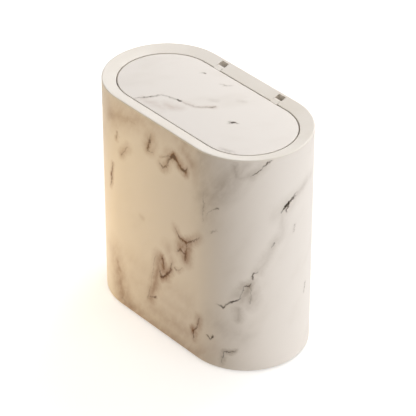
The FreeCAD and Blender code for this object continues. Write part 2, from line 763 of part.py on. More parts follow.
# Latch: a housing on the rim's tongue, with a sprung plunger whose jaws hold the lid's striker
LATCH_BACK = f"(-{OPENING_RADIUS})"
CAVITY_WIDTH = "(plunger_width + 2 * plunger_clearance)"
CAVITY_DEPTH = "(plunger_depth + 2 * plunger_clearance)"
CAVITY_FLOOR = f"({LATCH_BOTTOM} + latch_floor)"
CAM_Y = f"({LATCH_Y} + {CAVITY_DEPTH} / 2 + cam_wire_diameter / 2 + cam_gap)"
CAM_FOOT = f"({LATCH_BOTTOM} + latch_floor / 2)"
housing_block = block("housing_block", "-latch_width / 2", LATCH_BACK, LATCH_BOTTOM,
                      "latch_width", "latch_depth", "latch_height")
flange = block("housing_flange", f"-{FLANGE_WIDTH} / 2", LATCH_BACK, f"{LATCH_BOTTOM} + flange_rise",
               FLANGE_WIDTH, "flange_thickness", "flange_height")
cavity = centred_block("housing_cavity", "0", LATCH_Y, CAVITY_FLOOR,
                       CAVITY_WIDTH, CAVITY_DEPTH, "latch_height")
cam_room = block("housing_cam_room", "-cam_room / 2", LATCH_Y, CAVITY_FLOOR, "cam_room",
                 f"{CAM_Y} - {LATCH_Y} + cam_wire_diameter / 2 + cam_gap",
                 "latch_height - latch_floor - plunger_sink")
cam_hole_radius = "cam_wire_diameter / 2 + cam_hole_fit"
cam_hole = rod("housing_cam_hole", "z", "0", CAM_Y, CAM_FOOT, cam_hole_radius, "latch_floor")
flange_holes = []
latch_screws = []
for name, side in (("left", -1), ("right", 1)):
    screw_x = f"({side} * latch_screw_spacing / 2)"
    flange_holes.append(
        rod(f"flange_hole_{name}", "y", screw_x, LATCH_BACK, LATCH_SCREW_Z, PILOT_RADIUS, SCREW_HOLE))
    latch_screws.append(
        screw(f"latch_screw_{name}", "y", screw_x, f"(-{WALL_BACK})", LATCH_SCREW_Z, "rim_wall + screw_grip"))
housing_tools = [cavity, cam_room, cam_hole] + flange_holes
finish("latch_housing", take("housing", fuse("housing_whole", [housing_block, flange]), housing_tools))
group("latch_screws", latch_screws)

COIL_BORE = "(coil_radius + coil_wire / 2 + coil_bore_clearance)"
COIL_TOP = f"({PLUNGER_BOTTOM} + coil_bore_depth)"
GROOVE_BOTTOM = f"({PLUNGER_BOTTOM} + cam_groove_rise)"
HEART_Y = f"({LATCH_Y} + plunger_depth / 2 - cam_groove_depth)"
HEART_Z = f"({GROOVE_BOTTOM} + cam_groove_height / 2)"
HEART_TOP = f"({HEART_Z} + heart_size / sqrt(2))"
plunger_block = centred_block("plunger_block", "0", LATCH_Y, PLUNGER_BOTTOM, "plunger_width", "plunger_depth",
                              f"{PLUNGER_SEAT} - {PLUNGER_BOTTOM}")
jaws = []
for name, side in (("left", -1), ("right", 1)):
    jaw_x = f"({side} * (plunger_width - jaw_thickness) / 2)"
    jaws.append(centred_block(f"jaw_{name}", jaw_x, LATCH_Y, PLUNGER_SEAT,
                              "jaw_thickness", "plunger_depth", "jaw_height"))
    nose_x = f"({side} * (plunger_width - jaw_thickness - jaw_nose) / 2)"
    nose_level = f"{PLUNGER_SEAT} + jaw_height - jaw_nose_height"
    jaws.append(centred_block(f"jaw_nose_{name}", nose_x, LATCH_Y, nose_level,
                              "jaw_thickness + jaw_nose", "plunger_depth", "jaw_nose_height"))
bore = rod("plunger_bore", "z", "0", LATCH_Y, PLUNGER_BOTTOM, COIL_BORE, "coil_bore_depth")
groove = block("cam_groove", "-cam_groove_width / 2", HEART_Y, GROOVE_BOTTOM,
               "cam_groove_width", "cam_groove_depth", "cam_groove_height")
QUARTER_TURN = FreeCAD.Rotation(FreeCAD.Vector(0, 1, 0), 45)


def diamond(name, y, low_corner, side, depth):
    """A square bar along Y that stands on one of its edges."""
    bar = block(name, f"-({side}) / sqrt(2)", y, f"{low_corner} + ({side}) / sqrt(2)", side, depth, side)
    bar.Placement.Rotation = QUARTER_TURN
    return bar


heart_low = f"{HEART_Z} - heart_size / sqrt(2)"
heart_whole = diamond("heart_whole", HEART_Y, heart_low, "heart_size", "cam_groove_depth")
notch = diamond("heart_notch_bar", HEART_Y, f"{HEART_TOP} - heart_notch", "heart_size", "cam_groove_depth")
heart = take("heart", heart_whole, [notch])
plunger_tub = take("plunger_tub", fuse("plunger_whole", [plunger_block] + jaws), [bore, groove])
finish("latch_plunger", fuse("plunger", [plunger_tub, heart]))

spring_bottom = measure(f"{CAVITY_FLOOR} + coil_end_gap + coil_wire / 2")
spring_top = measure(f"{COIL_TOP} - coil_end_gap - coil_wire / 2")
spring_turns = measure("coil_turns")
spring_foot = FreeCAD.Vector(0, measure(LATCH_Y), spring_bottom)
spring_pitch = (spring_top - spring_bottom) / spring_turns
edges, start, start_way, end, end_way = coil(
    spring_foot, X_WAY, Y_WAY, Z_WAY, measure("coil_radius"), spring_pitch, 0, spring_turns)
tail_length = measure("coil_wire")
first_tail = straight(start - start_way * tail_length, start)
last_tail = straight(end, end + end_way * tail_length)
edges = [first_tail] + edges + [last_tail]
finish("latch_spring", wire_tube("latch_coil", edges, tail_length))

cam_tip_z = measure(f"{HEART_TOP} - heart_notch + cam_wire_diameter * sqrt(2) / 2 + cam_gap")
cam_foot = FreeCAD.Vector(0, measure(CAM_Y), measure(CAM_FOOT))
cam_bend = FreeCAD.Vector(0, measure(CAM_Y), cam_tip_z)
cam_tip = FreeCAD.Vector(0, measure(f"{HEART_Y} + cam_gap"), cam_tip_z)
bend_radius = measure("cam_wire_diameter")
bend_start = cam_bend - Z_WAY * bend_radius
bend_end = cam_bend - Y_WAY * bend_radius
cam_edges = [
    straight(cam_foot, bend_start),
    arc_between(bend_start, cam_bend, bend_end),
    straight(bend_end, cam_tip),
]
finish("latch_cam_wire", wire_tube("cam_wire", cam_edges, measure("cam_wire_diameter")))

# Striker: a plate screwed to the lid's bosses, with a round-headed post that goes down into the jaws
STRIKER_LEVEL = f"({BOSS_BOTTOM} - striker_thickness)"
HEAD_Z = f"({PLUNGER_SEAT} + striker_seat_gap + striker_head_radius)"
striker_plate = centred_block("striker_plate", "0", LATCH_Y, STRIKER_LEVEL,
                              "striker_length", "striker_width", "striker_thickness")
shank = centred_block("striker_post", "0", LATCH_Y, HEAD_Z, "striker_shank", "striker_head_length",
                      f"{BOSS_BOTTOM} - {HEAD_Z}")
head = rod("striker_head", "y", "0", f"{LATCH_Y} - striker_head_length / 2", HEAD_Z,
           "striker_head_radius", "striker_head_length")
striker_holes = []
striker_screws = []
for name, side in (("left", -1), ("right", 1)):
    screw_x = f"({side} * striker_screw_spacing / 2)"
    striker_holes.append(rod(f"striker_hole_{name}", "z", screw_x, LATCH_Y, STRIKER_LEVEL,
                             PASSAGE_RADIUS, "striker_thickness"))
    striker_screws.append(screw(f"striker_screw_{name}", "z", screw_x, LATCH_Y, STRIKER_LEVEL,
                                "striker_thickness + screw_grip"))
finish("lid_striker", take("striker", fuse("striker_whole", [striker_plate, shank, head]), striker_holes))
group("striker_screws", striker_screws)

doc.recompute()
for thing in doc.Objects:
    if "Invalid" in thing.State or "Error" in thing.State:
        raise RuntimeError(f"{thing.Label} failed: {thing.State}")
for thing in nodes:
    if thing.Shape.isNull() or not thing.Shape.isValid():
        raise RuntimeError(f"{thing.Label} has no valid shape")

os.makedirs("parts", exist_ok=True)
for thing in nodes:
    thing.Shape.exportStep(f"parts/{thing.Label}.step")
    print(f"{thing.Label}: {len(thing.Shape.Solids)} solid, {thing.Shape.Volume / 1000:.3f} cm3")
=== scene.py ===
import math

import bmesh
import bpy
from mathutils import Color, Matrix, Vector


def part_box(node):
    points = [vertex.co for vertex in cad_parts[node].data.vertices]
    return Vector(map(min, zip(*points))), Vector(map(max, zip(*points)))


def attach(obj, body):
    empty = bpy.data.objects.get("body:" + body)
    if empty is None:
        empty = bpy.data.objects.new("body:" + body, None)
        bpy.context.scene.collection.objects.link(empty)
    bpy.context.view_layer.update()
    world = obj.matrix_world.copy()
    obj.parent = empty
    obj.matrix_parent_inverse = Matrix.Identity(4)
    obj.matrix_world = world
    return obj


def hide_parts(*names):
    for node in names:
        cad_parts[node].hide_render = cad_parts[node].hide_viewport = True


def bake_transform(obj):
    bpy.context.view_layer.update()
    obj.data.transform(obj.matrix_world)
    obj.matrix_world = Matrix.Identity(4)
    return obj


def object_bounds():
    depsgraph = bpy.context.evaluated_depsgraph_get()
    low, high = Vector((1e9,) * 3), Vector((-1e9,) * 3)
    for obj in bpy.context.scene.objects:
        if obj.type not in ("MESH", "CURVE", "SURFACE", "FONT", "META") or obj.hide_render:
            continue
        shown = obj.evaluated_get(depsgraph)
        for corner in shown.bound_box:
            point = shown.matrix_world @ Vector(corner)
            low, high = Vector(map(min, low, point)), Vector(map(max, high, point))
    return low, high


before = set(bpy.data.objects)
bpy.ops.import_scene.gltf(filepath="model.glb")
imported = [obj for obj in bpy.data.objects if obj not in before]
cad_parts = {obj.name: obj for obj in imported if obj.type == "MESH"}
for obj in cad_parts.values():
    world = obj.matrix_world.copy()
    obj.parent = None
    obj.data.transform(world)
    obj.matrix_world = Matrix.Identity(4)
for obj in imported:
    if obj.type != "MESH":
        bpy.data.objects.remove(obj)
cad_low, cad_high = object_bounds()

# Body shell: a tall obround tub, injection moulded in white plastic about 2 mm thick. A printed
# marble film is wrapped round the outside, with its joint up the middle of the back, so the marble
# is laid out in the film's own flat measure. Four shallow recesses under the floor take the feet.
MM = 0.001
body_low, body_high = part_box("body_shell")
END_RADIUS = (body_high.y - body_low.y) / 2
HALF_STRAIGHT = (cad_high.x - cad_low.x) / 2 - END_RADIUS
BODY_WALL = 2.2 * MM
BODY_FLOOR = 2.6 * MM
BASE_ROUNDING = 4 * MM
FLOOR_ROUNDING = 3 * MM
TOP_EDGE_ROUNDING = 0.4 * MM
FOOT_NODES = [f"foot_pad_{number}" for number in range(1, 5)]
FOOT_RECESS_FIT = 0.1 * MM
END_STEPS = 64
STRAIGHT_STEPS = 12
ARC_STEPS = 6
DISC_STEPS = 40
CRISP_ANGLE = math.radians(35)
MOULDING_SLOT = 1


def arc(centre_reach, centre_level, radius, start, end):
    """Points of a round edge in a section, as reach from the centre line and level."""
    points = []
    for step in range(ARC_STEPS + 1):
        turn = math.radians(start + (end - start) * step / ARC_STEPS)
        reach = centre_reach + radius * math.cos(turn)
        level = centre_level + radius * math.sin(turn)
        points.append((reach, level))
    return points


def obround(reach):
    """The bin's plan at one reach from the centre line, all the way round."""
    points = []
    for side in (-1, 1):
        for step in range(STRAIGHT_STEPS):
            share = 2 * step / STRAIGHT_STEPS - 1
            points.append((-side * share * HALF_STRAIGHT, side * reach))
        for step in range(END_STEPS):
            turn = math.pi * (step / END_STEPS - 0.5)
            across = HALF_STRAIGHT + reach * math.cos(turn)
            points.append((-side * across, -side * reach * math.sin(turn)))
    return points


def disc(middle, radius):
    """The plan of a foot or of its recess, all the way round."""
    turns = [2 * math.pi * step / DISC_STEPS for step in range(DISC_STEPS)]
    return [(middle.x + radius * math.cos(turn), middle.y + radius * math.sin(turn)) for turn in turns]


def draw_ring(mesh, plan, level):
    """A closed ring of mesh points on a plan, at one level."""
    return [mesh.verts.new((x, y, level)) for x, y in plan]


def join_rings(mesh, rings):
    """Skin each ring to the next one, and give the bands of faces."""
    bands = []
    for lower, upper in zip(rings, rings[1:]):
        band = []
        for index in range(len(lower)):
            corners = (lower[index - 1], lower[index], upper[index], upper[index - 1])
            band.append(mesh.faces.new(corners))
        bands.append(band)
    return bands


def ring_edges(mesh, ring):
    """The edges round one closed ring of points."""
    return [mesh.edges.get((ring[index - 1], ring[index])) for index in range(len(ring))]


inner_reach = END_RADIUS - BODY_WALL
floor_level = body_low.z + BODY_FLOOR
top_level = body_high.z - TOP_EDGE_ROUNDING
base_edge = arc(END_RADIUS - BASE_ROUNDING, body_low.z + BASE_ROUNDING, BASE_ROUNDING, -90, 0)
top_edge = arc(END_RADIUS - TOP_EDGE_ROUNDING, top_level, TOP_EDGE_ROUNDING, 0, 90)
top_edge += arc(inner_reach + TOP_EDGE_ROUNDING, top_level, TOP_EDGE_ROUNDING, 90, 180)
floor_edge = arc(inner_reach - FLOOR_ROUNDING, floor_level + FLOOR_ROUNDING, FLOOR_ROUNDING, 0, -90)
tub = bmesh.new()
rings = [draw_ring(tub, obround(reach), level) for reach, level in base_edge + top_edge + floor_edge]
bands = join_rings(tub, rings)
bare_faces = [face for band in bands[len(base_edge):] for face in band]
bare_faces.append(tub.faces.new(rings[-1]))
underside = ring_edges(tub, rings[0])
for node in FOOT_NODES:
    foot_low, foot_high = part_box(node)
    recess = disc((foot_low + foot_high) / 2, (foot_high.x - foot_low.x) / 2 + FOOT_RECESS_FIT)
    mouth = draw_ring(tub, recess, body_low.z)
    roof = draw_ring(tub, recess, foot_high.z)
    bare_faces += join_rings(tub, [mouth, roof])[0]
    bare_faces.append(tub.faces.new(roof))
    underside += ring_edges(tub, mouth)
filled = bmesh.ops.triangle_fill(tub, use_beauty=True, edges=underside)["geom"]
bare_faces += [face for face in filled if isinstance(face, bmesh.types.BMFace)]
for face in bare_faces:
    face.material_index = MOULDING_SLOT


def feed(tree, socket, value):
    """Set a socket to a plain value, or link another node's output to it."""
    if isinstance(value, bpy.types.NodeSocket):
        tree.links.new(value, socket)
    else:
        socket.default_value = value


def add_node(tree, kind, inputs=None, **settings):
    """Add a shader node with its settings, and feed its inputs."""
    node = tree.nodes.new("ShaderNode" + kind)
    for name, value in settings.items():
        setattr(node, name, value)
    for name, value in (inputs or {}).items():
        feed(tree, node.inputs[name], value)
    return node


def work_out(tree, operation, *values):
    """The result of a Math node."""
    return add_node(tree, "Math", dict(enumerate(values)), operation=operation).outputs["Value"]


def work_out_vector(tree, operation, *values):
    """The result of a Vector Math node: a number for lengths and dot products, else a vector."""
    node = add_node(tree, "VectorMath", dict(enumerate(values)), operation=operation)
    return node.outputs["Value" if operation in ("LENGTH", "DOT_PRODUCT") else "Vector"]


def scaled(tree, vector, factor):
    """A vector times a number."""
    node = add_node(tree, "VectorMath", {"Vector": vector, "Scale": factor}, operation="SCALE")
    return node.outputs["Vector"]


def clamped(tree, value):
    """A value held between 0 and 1, by a node of its own so that long chains stay small in memory."""
    return add_node(tree, "Clamp", {"Value": value}).outputs["Result"]


def ramp(tree, value, low, high, to_low=0.0):
    """Ease a value smoothly from one range into another that ends at 1."""
    inputs = {"Value": value, "From Min": low, "From Max": high, "To Min": to_low}
    return add_node(tree, "MapRange", inputs, interpolation_type="SMOOTHSTEP").outputs["Result"]


def noise(tree, position, features, detail, output="Fac"):
    """Soft three-dimensional noise, with so many features in each unit of the position."""
    inputs = {"Vector": position, "Scale": features, "Detail": detail}
    return add_node(tree, "TexNoise", inputs).outputs[output]


def mixed(tree, share, first, second):
    """A mix of two colours."""
    node = add_node(tree, "Mix", data_type="RGBA", clamp_result=True)
    sockets = {socket.name: socket for socket in node.inputs if socket.enabled}
    feed(tree, sockets["Factor"], share)
    feed(tree, sockets["A"], first)
    feed(tree, sockets["B"], second)
    return next(socket for socket in node.outputs if socket.enabled)


def worn_and_highlit(tree, edge, wear_and_highlight, colour, worn_and_highlit_colour):
    """A colour that is partly paled to another along the edges, as wear and as a painted highlight."""
    return mixed(tree, work_out(tree, "MULTIPLY", edge, wear_and_highlight), colour, worn_and_highlit_colour)


def relief(tree, height, strength, depth, normal=None):
    """The surface's normal, tilted by a fine relief."""
    inputs = {"Height": height, "Strength": strength, "Distance": depth}
    if normal is not None:
        inputs["Normal"] = normal
    return add_node(tree, "Bump", inputs).outputs["Normal"]


def new_group(name, inputs, outputs):
    """A shader node group, the sockets that it is given, and the sockets of its result."""
    tree = bpy.data.node_groups.new(name, "ShaderNodeTree")
    for direction, sockets in (("INPUT", inputs), ("OUTPUT", outputs)):
        for socket, kind in sockets.items():
            tree.interface.new_socket(socket, in_out=direction, socket_type="NodeSocket" + kind)
    given = tree.nodes.new("NodeGroupInput").outputs
    result = tree.nodes.new("NodeGroupOutput").inputs
    return tree, given, result


def place_group(tree, group, inputs):
    """Place a node group, and give its outputs."""
    return add_node(tree, "Group", inputs, node_tree=group).outputs


def paint(red, green, blue):
    """A colour written as it looks on screen, 0 to 255, turned into light."""
    light = Color((red / 255, green / 255, blue / 255)).from_srgb_to_scene_linear()
    return (*light, 1.0)


def new_material(name):
    """A material with one shader, its node tree, and where on the piece a point lies."""
    material = bpy.data.materials.new(name)
    material.use_nodes = True
    tree = material.node_tree
    tree.nodes.clear()
    shader = add_node(tree, "BsdfPrincipled")
    add_node(tree, "OutputMaterial", {"Surface": shader.outputs["BSDF"]})
    position = add_node(tree, "TexCoord").outputs["Object"]
    return material, tree, shader, position


def connect(tree, shader, **sockets):
    """Feed varying values into the shader, such as Base_Color or Roughness."""
    for name, value in sockets.items():
        tree.links.new(value, shader.inputs[name.replace("_", " ")])


# Edge rounding: the sharp edges of a moulding are shaded as slightly rounded and made a little
# smoother. Its edge mask also pales them, partly as handling wear and partly as a painted highlight
BEVEL_SAMPLES = 6
FLAT_COSINE = 0.998
SHARP_COSINE = 0.93
edge_rounding, given, result = new_group(
    "Edge Rounding", {"Radius": "Float"}, {"Edge": "Float", "Normal": "Vector"})
tree = edge_rounding
rounded = add_node(tree, "Bevel", {"Radius": given["Radius"]}, samples=BEVEL_SAMPLES).outputs["Normal"]
true_normal = add_node(tree, "NewGeometry").outputs["Normal"]
cosine = work_out_vector(tree, "DOT_PRODUCT", rounded, true_normal)
tree.links.new(ramp(tree, cosine, FLAT_COSINE, SHARP_COSINE), result["Edge"])
tree.links.new(rounded, result["Normal"])

# Mould skin: the fine uneven skin that a moulding takes from its steel mould. Features are per metre
WAVE_FEATURES = 60.0
WAVE_HEIGHT = 1.5
MOTTLE_FEATURES = 24.0
mould_skin, given, result = new_group(
    "Mould Skin", {"Position": "Vector", "Grain": "Float"}, {"Height": "Float", "Mottle": "Float"})
tree = mould_skin
fine = noise(tree, given["Position"], given["Grain"], detail=2.0)
waves = noise(tree, given["Position"], WAVE_FEATURES, detail=2.0)
mottle = noise(tree, given["Position"], MOTTLE_FEATURES, detail=4.0)
tree.links.new(work_out(tree, "MULTIPLY_ADD", waves, WAVE_HEIGHT, fine), result["Height"])
tree.links.new(mottle, result["Mottle"])

# Film wrap: where a point of the wall lies on the film laid flat, in millimetres along the wall from
# the middle of the front and in height
STRAIGHT_LENGTH = HALF_STRAIGHT / MM
film_wrap, given, result = new_group("Film Wrap", {"Position": "Vector"}, {"Film": "Vector"})
tree = film_wrap
point = add_node(tree, "SeparateXYZ", {"Vector": scaled(tree, given["Position"], 1 / MM)}).outputs
length = work_out(tree, "ABSOLUTE", point["X"])
past_end = work_out(tree, "MAXIMUM", work_out(tree, "SUBTRACT", length, STRAIGHT_LENGTH), 0.0)
turn = work_out(tree, "ARCTAN2", past_end, work_out(tree, "MULTIPLY", point["Y"], -1.0))
on_straight = work_out(tree, "MINIMUM", length, STRAIGHT_LENGTH)
before_end = work_out(tree, "SUBTRACT", STRAIGHT_LENGTH, on_straight)
front_or_back = work_out(tree, "MULTIPLY", before_end, work_out(tree, "SIGN", point["Y"]))
round_end = work_out(tree, "MULTIPLY_ADD", turn, END_RADIUS / MM, STRAIGHT_LENGTH)
from_middle = work_out(tree, "ADD", round_end, front_or_back)
along = work_out(tree, "MULTIPLY", from_middle, work_out(tree, "SIGN", point["X"]))
flat = add_node(tree, "CombineXYZ", {"X": along, "Y": point["Z"]})
tree.links.new(flat.outputs["Vector"], result["Film"])

# Vein stroke: one straight run of a marble vein, darkest on its line and smoky to its sides
LEAST_WIDTH = 0.3
LINE_HARDNESS = 1.6
SMOKE_FALL = 1.35
vein_stroke, given, result = new_group(
    "Vein Stroke",
    {
        "Film": "Vector",
        "Start": "Vector",
        "End": "Vector",
        "Start Weight": "Float",
        "End Weight": "Float",
        "Width": "Float",
        "Smoke Width": "Float",
    },
    {"Vein": "Float", "Smoke": "Float"})
tree = vein_stroke
run = work_out_vector(tree, "SUBTRACT", given["End"], given["Start"])
offset = work_out_vector(tree, "SUBTRACT", given["Film"], given["Start"])
offset_along = work_out_vector(tree, "DOT_PRODUCT", offset, run)
run_squared = work_out_vector(tree, "DOT_PRODUCT", run, run)
share = clamped(tree, work_out(tree, "DIVIDE", offset_along, run_squared))
from_line = work_out_vector(tree, "SUBTRACT", offset, scaled(tree, run, share))
aside = work_out_vector(tree, "LENGTH", from_line)
change = work_out(tree, "SUBTRACT", given["End Weight"], given["Start Weight"])
weight = work_out(tree, "MULTIPLY_ADD", change, share, given["Start Weight"])
swell = work_out(tree, "MULTIPLY_ADD", weight, 1 - LEAST_WIDTH, LEAST_WIDTH)
line_width = work_out(tree, "MULTIPLY", given["Width"], swell)
inward = work_out(tree, "SUBTRACT", 1.0, work_out(tree, "DIVIDE", aside, line_width))
line = clamped(tree, work_out(tree, "MULTIPLY", inward, LINE_HARDNESS))
fade = work_out(tree, "DIVIDE", aside, given["Smoke Width"])
smoke = clamped(tree, work_out(tree, "SUBTRACT", 1.0, fade))
tree.links.new(work_out(tree, "MULTIPLY", line, weight), result["Vein"])
haze = work_out(tree, "POWER", smoke, SMOKE_FALL)
tree.links.new(work_out(tree, "MULTIPLY", haze, weight), result["Smoke"])

# Marble print: pale stone with soft clouds along its slanting grain, then smoke and veins in two inks.
# On the body some of the smoke is wide washes of painted shade. Features are per millimetre. Each ink
# has a strength, a colour for its smoke and one for its veins
GRAIN_SLANT = math.radians(57)
GRAIN_STRETCH = (0.5, 1.0, 1.0)
MARBLE_GROUND = paint(242, 235, 228)
MARBLE_CLOUD = paint(226, 217, 207)
CLOUD_FEATURES = 0.03
CLOUD_RANGE = (0.48, 0.82)
CLOUD_SHARE = 0.35
PATCH_FEATURES = 0.12
PATCH_RANGE = (0.28, 0.62)
THINNEST_SMOKE = 0.55
BREAK_FEATURES = 0.42
BREAK_RANGE = (0.3, 0.56)
FAINTEST_LINE = 0.35
INKS = {
    "Brown": (1.2, paint(146, 101, 62), paint(88, 54, 22)),
    "Grey": (1.0, paint(146, 128, 108), paint(46, 31, 14)),
}
ink_sockets = {f"{ink} {mark}": "Float" for ink in INKS for mark in ("Vein", "Smoke")}
marble_print, given, result = new_group(
    "Marble Print", {"Film": "Vector", **ink_sockets}, {"Color": "Color", "Dark": "Float"})
tree = marble_print
slant = {"Vector": given["Film"], "Angle": -GRAIN_SLANT}
slanted = add_node(tree, "VectorRotate", slant, rotation_type="Z_AXIS").outputs["Vector"]
grain = work_out_vector(tree, "MULTIPLY", slanted, GRAIN_STRETCH)
cloud = ramp(tree, noise(tree, grain, CLOUD_FEATURES, detail=5.0), *CLOUD_RANGE)
patchy = ramp(tree, noise(tree, grain, PATCH_FEATURES, detail=4.0), *PATCH_RANGE, THINNEST_SMOKE)
broken = ramp(tree, noise(tree, grain, BREAK_FEATURES, detail=3.0), *BREAK_RANGE, FAINTEST_LINE)
colour = mixed(tree, work_out(tree, "MULTIPLY", cloud, CLOUD_SHARE), MARBLE_GROUND, MARBLE_CLOUD)
dark = 0.0
for ink, (strength, smoke_colour, vein_colour) in INKS.items():
    thick = work_out(tree, "MULTIPLY", given[ink + " Smoke"], strength)
    smoky = clamped(tree, work_out(tree, "MULTIPLY", thick, patchy))
    colour = mixed(tree, smoky, colour, smoke_colour)
    inked = clamped(tree, work_out(tree, "MULTIPLY", given[ink + " Vein"], broken))
    colour = mixed(tree, inked, colour, vein_colour)
    dark = work_out(tree, "MAXIMUM", inked, dark)
tree.links.new(colour, result["Color"])
tree.links.new(dark, result["Dark"])

# Marble film: the satin film with its print. Its veins stray by swirls, each with features per metre
# and a stray in millimetres
SWIRLS = ((70.0, 6.0), (330.0, 4.5), (1000.0, 1.6))
NOISE_MIDDLE = (0.5, 0.5, 0.5)
IN_FILM_PLANE = (1.0, 1.0, 0.0)
FILM_EDGE = 0.6 * MM
FILM_GRAIN = 900.0
WORN_AND_HIGHLIT_FILM = paint(246, 242, 238)
FILM_WEAR_AND_HIGHLIGHT = 0.25
FILM_SHEEN = 0.22
FILM_ROUGHNESS = 0.36
FILM_MOTTLE = 0.12
INK_DULLING = 0.08
FILM_RELIEF = 0.04
FILM_RELIEF_DEPTH = 0.3 * MM


def draw_veins(tree, film, veins):
    """The marks of one ink: the darkest of its lines, and the thickest of its smoke."""
    line = 0.0
    smoke = 0.0
    for width, smoke_width, points in veins:
        for start, end in zip(points, points[1:]):
            stroke = place_group(tree, vein_stroke, {
                "Film": film,
                "Start": (*start[:2], 0.0),
                "End": (*end[:2], 0.0),
                "Start Weight": start[2],
                "End Weight": end[2],
                "Width": width,
                "Smoke Width": smoke_width,
            })
            line = work_out(tree, "MAXIMUM", stroke["Vein"], line)
            smoke = work_out(tree, "MAXIMUM", stroke["Smoke"], smoke)
    return line, smoke


def marble_film(name, veins, lay_flat):
    """Satin marble film with its veins and smoke; on the body a few wide washes among them are painted
    shade. lay_flat tells where on the film a point of the piece lies.
    """
    material, tree, shader, position = new_material(name)
    flat = lay_flat(tree, position)
    strayed = flat
    for features, stray in SWIRLS:
        colours = noise(tree, position, features, detail=2.0, output="Color")
        swirl = work_out_vector(tree, "SUBTRACT", colours, NOISE_MIDDLE)
        strayed = work_out_vector(tree, "ADD", strayed, scaled(tree, swirl, stray))
    strayed = work_out_vector(tree, "MULTIPLY", strayed, IN_FILM_PLANE)
    marks = {"Film": flat}
    for ink in INKS:
        marks[ink + " Vein"], marks[ink + " Smoke"] = draw_veins(tree, strayed, veins[ink])
    stone = place_group(tree, marble_print, marks)
    edge = place_group(tree, edge_rounding, {"Radius": FILM_EDGE})
    skin = place_group(tree, mould_skin, {"Position": position, "Grain": FILM_GRAIN})
    # The film's edges are paled, partly as wear and partly as a painted highlight
    colour = worn_and_highlit(tree, edge["Edge"], FILM_WEAR_AND_HIGHLIGHT, stone["Color"], WORN_AND_HIGHLIT_FILM)
    roughness = work_out(tree, "MULTIPLY_ADD", skin["Mottle"], FILM_MOTTLE, FILM_ROUGHNESS)
    roughness = work_out(tree, "MULTIPLY_ADD", stone["Dark"], INK_DULLING, roughness)
    normal = relief(tree, skin["Height"], FILM_RELIEF, FILM_RELIEF_DEPTH)
    shader.inputs["Specular IOR Level"].default_value = FILM_SHEEN
    connect(tree, shader, Base_Color=colour, Roughness=roughness, Normal=normal)
    return material
